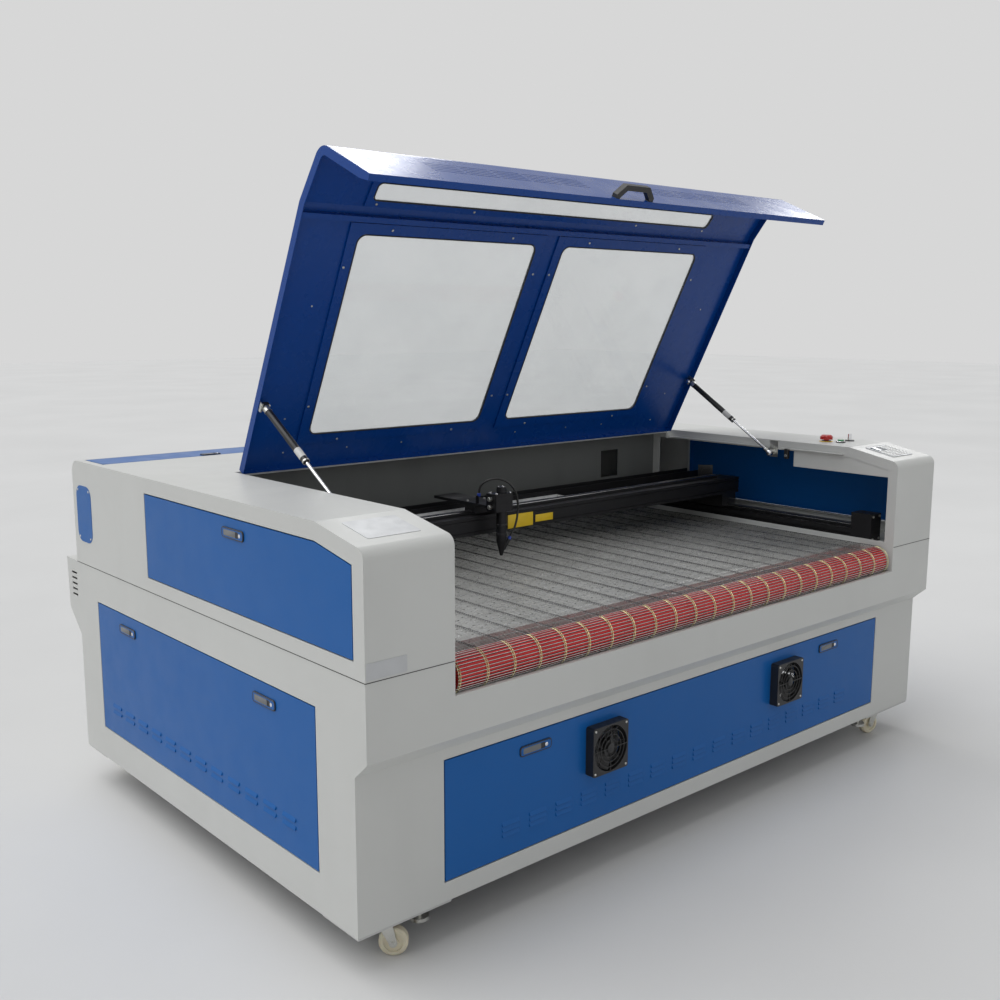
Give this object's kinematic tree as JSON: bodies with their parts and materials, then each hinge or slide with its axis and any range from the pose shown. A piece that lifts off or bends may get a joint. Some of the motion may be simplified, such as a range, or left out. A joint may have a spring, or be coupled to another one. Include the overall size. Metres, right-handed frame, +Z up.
{
  "type": "conveyor-bed laser engraver",
  "caption": "Large cabinet laser engraver with a mesh conveyor bed, an open windowed lid on gas struts, a gantry with a laser head, hinged doors and casters.",
  "frame": {"origin": "on the floor under the middle of the overall box", "axes": "+X to the right along the machine's width, +Y to the back, +Z up; the open front faces -Y"},
  "size_m": [2.157, 1.51, 1.697],
  "materials": {
    "white_paint": "satin light grey-white powder coat",
    "frame_paint": "satin light grey powder coat",
    "blue_paint": "satin blue powder coat",
    "lid_paint": "satin blue powder coat",
    "dark_paint": "matt dark grey",
    "clear_glass": "clear",
    "tube_glass": "clear",
    "black_plastic": "moulded",
    "red_plastic": "moulded",
    "cream_nylon": "moulded nylon",
    "black_hose": "matt",
    "red_rubber": "red rubber sleeve over a steel drum",
    "belt_mesh": "woven steel mesh",
    "bed_steel": "plain",
    "cast_iron": "rough",
    "zinc": "zinc plated",
    "chrome": "polished",
    "black_metal": "gloss black",
    "black_aluminium": "black anodised",
    "plate_film": "printed film on a plate, bare"
  },
  "bodies": {
    "cabinet": {"base_frame": "frame_paint", "lower_front_skin": "white_paint", "lower_left_skin": "white_paint", "lower_right_skin": "white_paint", "lower_rear_skin": "white_paint", "rear_box": "white_paint", "rear_box_ends": "white_paint", "exhaust_spigots": "zinc", "levelling_feet": "zinc", "left_console": "white_paint", "right_console": "white_paint", "rear_housing": "white_paint", "chamber_rear_wall": "dark_paint", "side_covers": "blue_paint", "laser_tube": "tube_glass", "bed_plate": "bed_steel", "mesh_belt": "belt_mesh", "roller_bearings": "cast_iron", "lid_mountings": "zinc", "y_rails": "black_aluminium", "control_tray": "white_paint", "panel_plates": "plate_film", "switch_collars": "black_plastic"},
    "lid": {"lid_frame": "lid_paint", "lid_windows": "clear_glass", "window_retainers": "lid_paint", "lid_handle": "black_plastic", "lid_fittings": "zinc"},
    "left_strut_rod": {"left_strut_rod": "chrome"},
    "left_strut_tube": {"left_strut_tube": "black_metal"},
    "right_strut_rod": {"right_strut_rod": "chrome"},
    "right_strut_tube": {"right_strut_tube": "black_metal"},
    "front_door": {"front_door": "blue_paint", "fan_cases": "black_plastic"},
    "left_fan": {"left_fan_rotor": "black_plastic"},
    "right_fan": {"right_fan_rotor": "black_plastic"},
    "left_lower_door": {"left_lower_door": "blue_paint"},
    "right_lower_door": {"right_lower_door": "blue_paint"},
    "left_upper_door": {"left_upper_door": "blue_paint"},
    "right_upper_door": {"right_upper_door": "blue_paint"},
    "tube_cover": {"tube_cover": "blue_paint"},
    "front_roller": {"front_roller": "red_rubber"},
    "rear_roller": {"rear_roller": "red_rubber"},
    "gantry": {"gantry_beam": "black_aluminium", "gantry_carriages": "black_aluminium", "drag_chain": "black_plastic"},
    "laser_head": {"laser_head": "black_aluminium"},
    "lens_tube": {"lens_tube": "black_aluminium", "air_hose": "black_hose"},
    "estop_button": {"estop_button": "red_plastic"},
    "start_button": {"start_button": "red_plastic"},
    "key_switch": {"key_switch": "chrome"},
    "caster_fork_front_left": {"caster_fork_front_left": "zinc"},
    "caster_wheel_front_left": {"caster_wheel_front_left": "cream_nylon"},
    "caster_fork_front_right": {"caster_fork_front_right": "zinc"},
    "caster_wheel_front_right": {"caster_wheel_front_right": "cream_nylon"},
    "caster_fork_rear_left": {"caster_fork_rear_left": "zinc"},
    "caster_wheel_rear_left": {"caster_wheel_rear_left": "cream_nylon"},
    "caster_fork_rear_right": {"caster_fork_rear_right": "zinc"},
    "caster_wheel_rear_right": {"caster_wheel_rear_right": "cream_nylon"}
  },
  "joints": [
    {"name": "lid_hinge", "type": "hinge", "parent": "cabinet", "child": "lid", "pos_m": [0, 0.142, 0.938], "axis": [1, 0, 0], "range_deg": [0, 63.3]},
    {"name": "left_strut_pivot", "type": "hinge", "parent": "cabinet", "child": "left_strut_rod", "pos_m": [-0.8302, -0.314, 0.892], "axis": [1, 0, 0], "range_deg": [-28.6, 0]},
    {"name": "left_strut_stroke", "type": "slide", "parent": "left_strut_rod", "child": "left_strut_tube", "axis": [0, 0.8426, 0.5385], "range_m": [-0.1507, 0]},
    {"name": "right_strut_pivot", "type": "hinge", "parent": "cabinet", "child": "right_strut_rod", "pos_m": [0.8302, -0.314, 0.892], "axis": [1, 0, 0], "range_deg": [-28.6, 0]},
    {"name": "right_strut_stroke", "type": "slide", "parent": "right_strut_rod", "child": "right_strut_tube", "axis": [0, 0.8426, 0.5385], "range_m": [-0.1507, 0]},
    {"name": "front_door_hinge", "type": "hinge", "parent": "cabinet", "child": "front_door", "pos_m": [0, -0.706, 0.149], "axis": [1, 0, 0], "range_deg": [0, 90]},
    {"name": "left_fan_spin", "type": "hinge", "parent": "front_door", "child": "left_fan", "pos_m": [-0.367, -0.726, 0.321], "axis": [0, 1, 0], "continuous": true},
    {"name": "right_fan_spin", "type": "hinge", "parent": "front_door", "child": "right_fan", "pos_m": [0.367, -0.726, 0.321], "axis": [0, 1, 0], "continuous": true},
    {"name": "left_lower_door_hinge", "type": "hinge", "parent": "cabinet", "child": "left_lower_door", "pos_m": [-1.069, 0, 0.194], "axis": [0, -1, 0], "range_deg": [0, 90]},
    {"name": "right_lower_door_hinge", "type": "hinge", "parent": "cabinet", "child": "right_lower_door", "pos_m": [1.069, 0, 0.194], "axis": [0, 1, 0], "range_deg": [0, 90]},
    {"name": "left_upper_door_hinge", "type": "hinge", "parent": "cabinet", "child": "left_upper_door", "pos_m": [-1.069, 0, 0.685], "axis": [0, -1, 0], "range_deg": [0, 90]},
    {"name": "right_upper_door_hinge", "type": "hinge", "parent": "cabinet", "child": "right_upper_door", "pos_m": [1.069, 0, 0.685], "axis": [0, 1, 0], "range_deg": [0, 90]},
    {"name": "tube_cover_hinge", "type": "hinge", "parent": "cabinet", "child": "tube_cover", "pos_m": [0, 0.628, 0.926], "axis": [-1, 0, 0], "range_deg": [0, 100]},
    {"name": "front_roller_turn", "type": "hinge", "parent": "cabinet", "child": "front_roller", "pos_m": [0, -0.706, 0.5977], "axis": [1, 0, 0], "continuous": true},
    {"name": "rear_roller_turn", "type": "hinge", "parent": "cabinet", "child": "rear_roller", "pos_m": [0, 0.646, 0.5977], "axis": [1, 0, 0], "continuous": true},
    {"name": "gantry_travel", "type": "slide", "parent": "cabinet", "child": "gantry", "axis": [0, 1, 0], "range_m": [-0.48, 0.07]},
    {"name": "head_travel", "type": "slide", "parent": "gantry", "child": "laser_head", "axis": [1, 0, 0], "range_m": [-0.54, 0.98]},
    {"name": "focus_travel", "type": "slide", "parent": "laser_head", "child": "lens_tube", "axis": [0, 0, 1], "range_m": [-0.02, 0.02]},
    {"name": "estop_push", "type": "slide", "parent": "cabinet", "child": "estop_button", "axis": [0, 0, -1], "range_m": [0, 0.004]},
    {"name": "start_push", "type": "slide", "parent": "cabinet", "child": "start_button", "axis": [0, 0, -1], "range_m": [0, 0.002], "stiffness_N_per_m": 400, "springref_m": -0.004},
    {"name": "key_turn", "type": "hinge", "parent": "cabinet", "child": "key_switch", "pos_m": [1.016, -0.491, 0.935], "axis": [0, 0, 1], "range_deg": [0, 90]},
    {"name": "front_left_caster_swivel", "type": "hinge", "parent": "cabinet", "child": "caster_fork_front_left", "pos_m": [-0.973, -0.654, 0.086], "axis": [0, 0, 1], "continuous": true},
    {"name": "front_left_wheel_turn", "type": "hinge", "parent": "caster_fork_front_left", "child": "caster_wheel_front_left", "pos_m": [-0.9564, -0.66843, 0.0315], "axis": [0.6561, 0.7547, 0], "continuous": true},
    {"name": "front_right_caster_swivel", "type": "hinge", "parent": "cabinet", "child": "caster_fork_front_right", "pos_m": [0.973, -0.654, 0.086], "axis": [0, 0, 1], "continuous": true},
    {"name": "front_right_wheel_turn", "type": "hinge", "parent": "caster_fork_front_right", "child": "caster_wheel_front_right", "pos_m": [0.95196, -0.64757, 0.0315], "axis": [-0.2924, -0.9563, 0], "continuous": true},
    {"name": "rear_left_caster_swivel", "type": "hinge", "parent": "cabinet", "child": "caster_fork_rear_left", "pos_m": [-0.973, 0.618, 0.086], "axis": [0, 0, 1], "continuous": true},
    {"name": "rear_left_wheel_turn", "type": "hinge", "parent": "caster_fork_rear_left", "child": "caster_wheel_rear_left", "pos_m": [-0.962, 0.63705, 0.0315], "axis": [-0.866, 0.5, 0], "continuous": true},
    {"name": "rear_right_caster_swivel", "type": "hinge", "parent": "cabinet", "child": "caster_fork_rear_right", "pos_m": [0.973, 0.618, 0.086], "axis": [0, 0, 1], "continuous": true},
    {"name": "rear_right_wheel_turn", "type": "hinge", "parent": "caster_fork_rear_right", "child": "caster_wheel_rear_right", "pos_m": [0.95233, 0.61048, 0.0315], "axis": [0.342, -0.9397, 0], "continuous": true}
  ],
  "couplings": [
    {"joint": "left_strut_pivot", "follows": "lid_hinge", "ratio": -0.44991},
    {"joint": "left_strut_stroke", "follows": "lid_hinge", "m_per_rad": -0.13624},
    {"joint": "right_strut_pivot", "follows": "lid_hinge", "ratio": -0.44991},
    {"joint": "right_strut_stroke", "follows": "lid_hinge", "m_per_rad": -0.13624},
    {"joint": "rear_roller_turn", "follows": "front_roller_turn", "ratio": 1}
  ]
}
